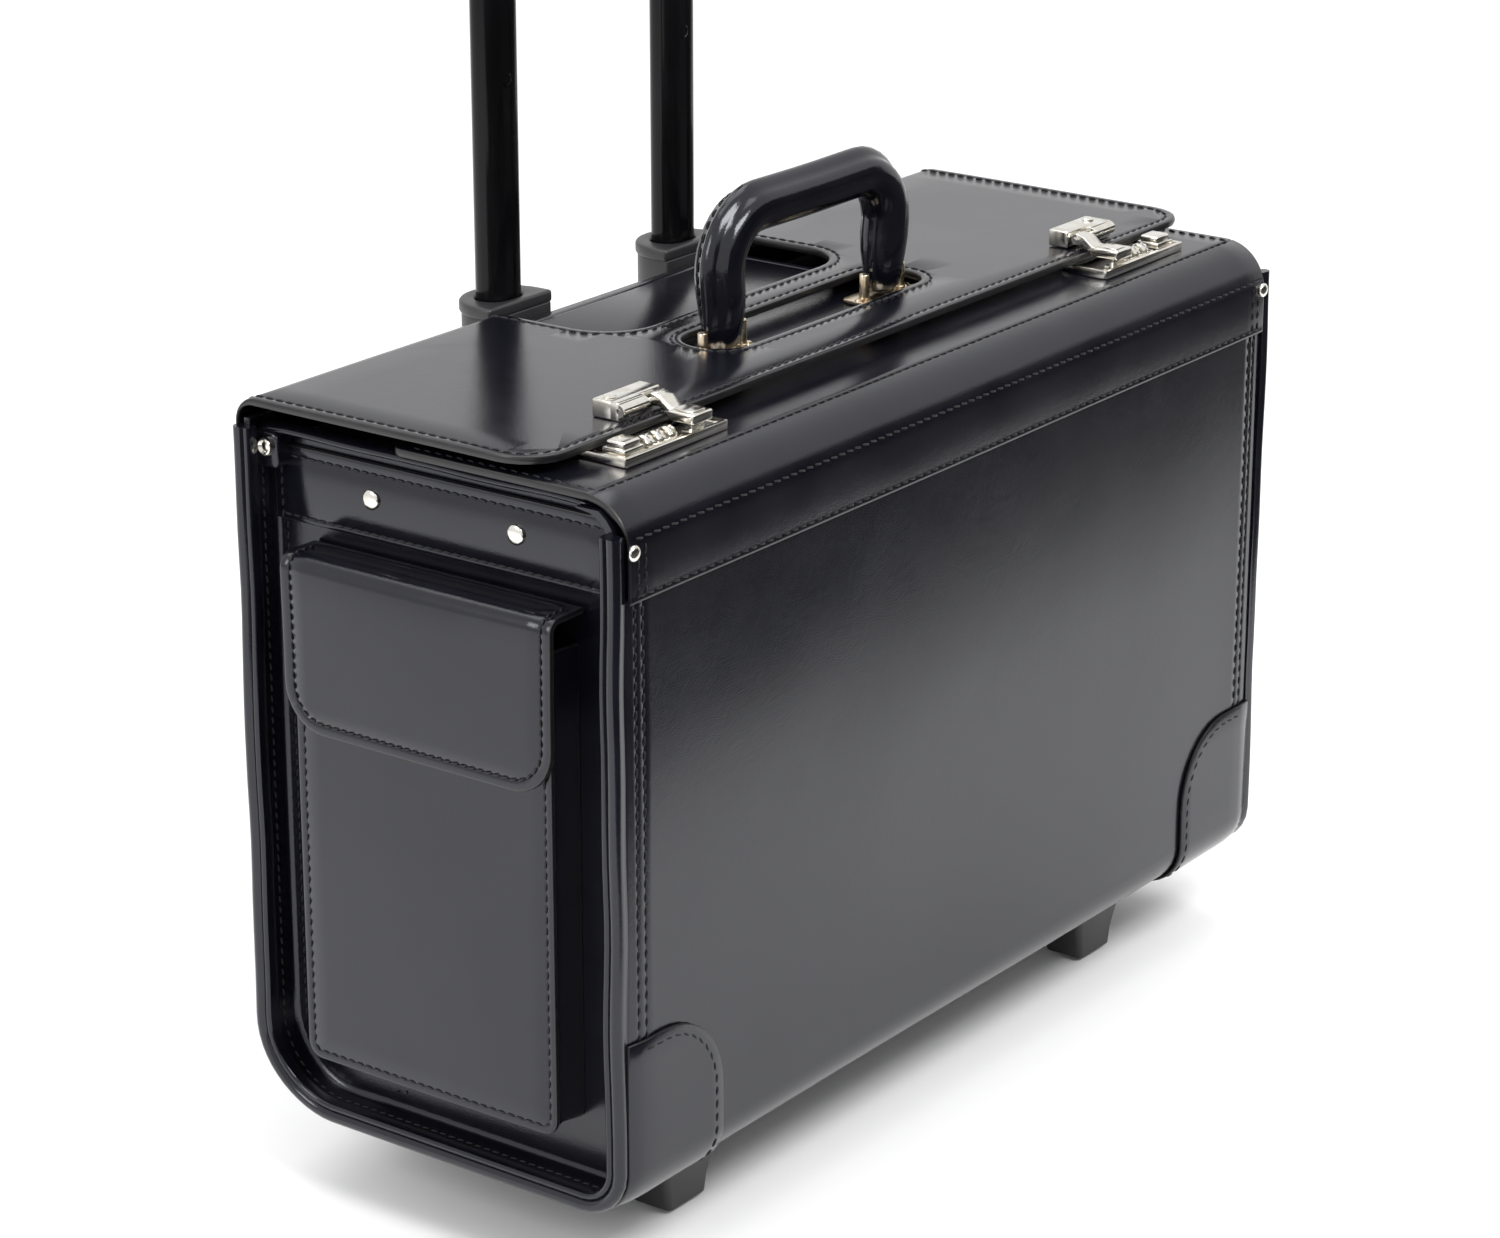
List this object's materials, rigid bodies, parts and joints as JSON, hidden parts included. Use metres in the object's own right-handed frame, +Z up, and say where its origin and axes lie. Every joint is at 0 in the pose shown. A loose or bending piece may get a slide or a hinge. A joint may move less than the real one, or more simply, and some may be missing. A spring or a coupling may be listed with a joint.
{
  "type": "pilot rolling flight case",
  "caption": "Black leather pilot case with a two-part top, combination locks, carry handle, end pockets, feet, rear wheels and a telescopic trolley handle.",
  "frame": {"origin": "middle of the bounding box, on the surface that the feet and wheels stand on", "axes": "+Z up along the trolley rods, +Y from the front panel to the trolley at the back, +X along the width"},
  "size_m": [0.5012, 0.2242, 0.912],
  "materials": {
    "black_leather": "smooth polished black leather",
    "leather_trim": "polished black leather binding and patches",
    "lining": "woven grey lining on board",
    "black_plastic": "satin moulded",
    "black_tube": "gloss black anodised",
    "nickel": "polished nickel plate",
    "warm_nickel": "worn nickel over brass",
    "steel": "plain",
    "wheel_rubber": "matt black tyre"
  },
  "bodies": {
    "case": {"case_wrap": "black_leather", "case_lining": "lining", "mouth_frame": "steel", "file_divider": "lining", "trolley_yoke": "black_leather", "left_end_panel": "black_leather", "left_edge_binding": "leather_trim", "left_end_band": "leather_trim", "left_band_rivet_front": "nickel", "left_band_rivet_rear": "nickel", "front_left_rivet": "nickel", "rear_left_rivet": "nickel", "left_corner_patch": "leather_trim", "left_pocket": "black_leather", "left_rod_guide": "black_plastic", "left_front_foot": "black_plastic", "left_wheel_housing": "black_plastic", "left_wheel_axle": "steel", "right_end_panel": "black_leather", "right_edge_binding": "leather_trim", "right_end_band": "leather_trim", "right_band_rivet_front": "nickel", "right_band_rivet_rear": "nickel", "front_right_rivet": "nickel", "rear_right_rivet": "nickel", "right_corner_patch": "leather_trim", "right_pocket": "black_leather", "right_rod_guide": "black_plastic", "right_front_foot": "black_plastic", "right_wheel_housing": "black_plastic", "right_wheel_axle": "steel"},
    "lid": {"lid": "black_leather", "left_hasp_base": "nickel", "right_hasp_base": "nickel"},
    "front_flap": {"front_flap": "black_leather", "left_lock_plate": "nickel", "right_lock_plate": "nickel", "left_handle_bracket": "warm_nickel", "right_handle_bracket": "warm_nickel"},
    "carry_handle": {"carry_handle": "leather_trim"},
    "trolley_lower": {"left_lower_rod": "black_tube", "right_lower_rod": "black_tube"},
    "trolley_upper": {"left_upper_rod": "black_tube", "right_upper_rod": "black_tube", "trolley_grip": "black_plastic"},
    "grip_button": {"grip_button": "black_plastic"},
    "left_hasp": {"left_hasp": "nickel"},
    "left_lock_slider": {"left_lock_slider": "nickel"},
    "left_dial_1": {"left_dial_1": "nickel"},
    "left_dial_2": {"left_dial_2": "nickel"},
    "left_dial_3": {"left_dial_3": "nickel"},
    "left_wheel": {"left_wheel": "wheel_rubber"},
    "left_pocket_flap": {"left_pocket_flap": "black_leather"},
    "right_hasp": {"right_hasp": "nickel"},
    "right_lock_slider": {"right_lock_slider": "nickel"},
    "right_dial_1": {"right_dial_1": "nickel"},
    "right_dial_2": {"right_dial_2": "nickel"},
    "right_dial_3": {"right_dial_3": "nickel"},
    "right_wheel": {"right_wheel": "wheel_rubber"},
    "right_pocket_flap": {"right_pocket_flap": "black_leather"}
  },
  "joints": [
    {"name": "lid_hinge", "type": "hinge", "parent": "case", "child": "lid", "pos_m": [0, 0.08065, 0.338], "axis": [-1, 0, 0], "range_deg": [0, 88]},
    {"name": "front_flap_hinge", "type": "hinge", "parent": "case", "child": "front_flap", "pos_m": [0, -0.09035, 0.3343], "axis": [1, 0, 0], "range_deg": [0, 18]},
    {"name": "carry_handle_pivot", "type": "hinge", "parent": "front_flap", "child": "carry_handle", "pos_m": [0, -0.02135, 0.3438], "axis": [-1, 0, 0], "range_deg": [0, 80]},
    {"name": "trolley_lower_slide", "type": "slide", "parent": "case", "child": "trolley_lower", "axis": [0, 0, 1], "range_m": [-0.265, 0]},
    {"name": "trolley_upper_slide", "type": "slide", "parent": "trolley_lower", "child": "trolley_upper", "axis": [0, 0, 1], "range_m": [-0.265, 0]},
    {"name": "grip_button_press", "type": "slide", "parent": "trolley_upper", "child": "grip_button", "axis": [0, 0, 1], "range_m": [-0.004, 0], "stiffness_N_per_m": 300},
    {"name": "left_hasp_hinge", "type": "hinge", "parent": "lid", "child": "left_hasp", "pos_m": [-0.156, -0.06235, 0.3486], "axis": [-1, 0, 0], "range_deg": [0, 100]},
    {"name": "left_lock_slide", "type": "slide", "parent": "front_flap", "child": "left_lock_slider", "axis": [-1, 0, 0], "range_m": [0, 0.004], "stiffness_N_per_m": 250},
    {"name": "left_dial_1_turn", "type": "hinge", "parent": "front_flap", "child": "left_dial_1", "pos_m": [-0.169, -0.07635, 0.3385], "axis": [1, 0, 0], "continuous": true},
    {"name": "left_dial_2_turn", "type": "hinge", "parent": "front_flap", "child": "left_dial_2", "pos_m": [-0.1762, -0.07635, 0.3385], "axis": [1, 0, 0], "continuous": true},
    {"name": "left_dial_3_turn", "type": "hinge", "parent": "front_flap", "child": "left_dial_3", "pos_m": [-0.1834, -0.07635, 0.3385], "axis": [1, 0, 0], "continuous": true},
    {"name": "left_wheel_turn", "type": "hinge", "parent": "case", "child": "left_wheel", "pos_m": [-0.15, 0.07665, 0.021], "axis": [1, 0, 0], "continuous": true},
    {"name": "left_pocket_flap_hinge", "type": "hinge", "parent": "case", "child": "left_pocket_flap", "pos_m": [-0.2307, -0.01335, 0.2845], "axis": [0, 1, 0], "range_deg": [0, 80]},
    {"name": "right_hasp_hinge", "type": "hinge", "parent": "lid", "child": "right_hasp", "pos_m": [0.156, -0.06235, 0.3486], "axis": [-1, 0, 0], "range_deg": [0, 100]},
    {"name": "right_lock_slide", "type": "slide", "parent": "front_flap", "child": "right_lock_slider", "axis": [1, 0, 0], "range_m": [0, 0.004], "stiffness_N_per_m": 250},
    {"name": "right_dial_1_turn", "type": "hinge", "parent": "front_flap", "child": "right_dial_1", "pos_m": [0.169, -0.07635, 0.3385], "axis": [1, 0, 0], "continuous": true},
    {"name": "right_dial_2_turn", "type": "hinge", "parent": "front_flap", "child": "right_dial_2", "pos_m": [0.1762, -0.07635, 0.3385], "axis": [1, 0, 0], "continuous": true},
    {"name": "right_dial_3_turn", "type": "hinge", "parent": "front_flap", "child": "right_dial_3", "pos_m": [0.1834, -0.07635, 0.3385], "axis": [1, 0, 0], "continuous": true},
    {"name": "right_wheel_turn", "type": "hinge", "parent": "case", "child": "right_wheel", "pos_m": [0.15, 0.07665, 0.021], "axis": [1, 0, 0], "continuous": true},
    {"name": "right_pocket_flap_hinge", "type": "hinge", "parent": "case", "child": "right_pocket_flap", "pos_m": [0.2307, -0.01335, 0.2845], "axis": [0, -1, 0], "range_deg": [0, 80]}
  ],
  "couplings": [
    {"joint": "front_flap_hinge", "follows": "lid_hinge", "ratio": 0.2},
    {"joint": "carry_handle_pivot", "follows": "lid_hinge", "ratio": 0.88}
  ]
}
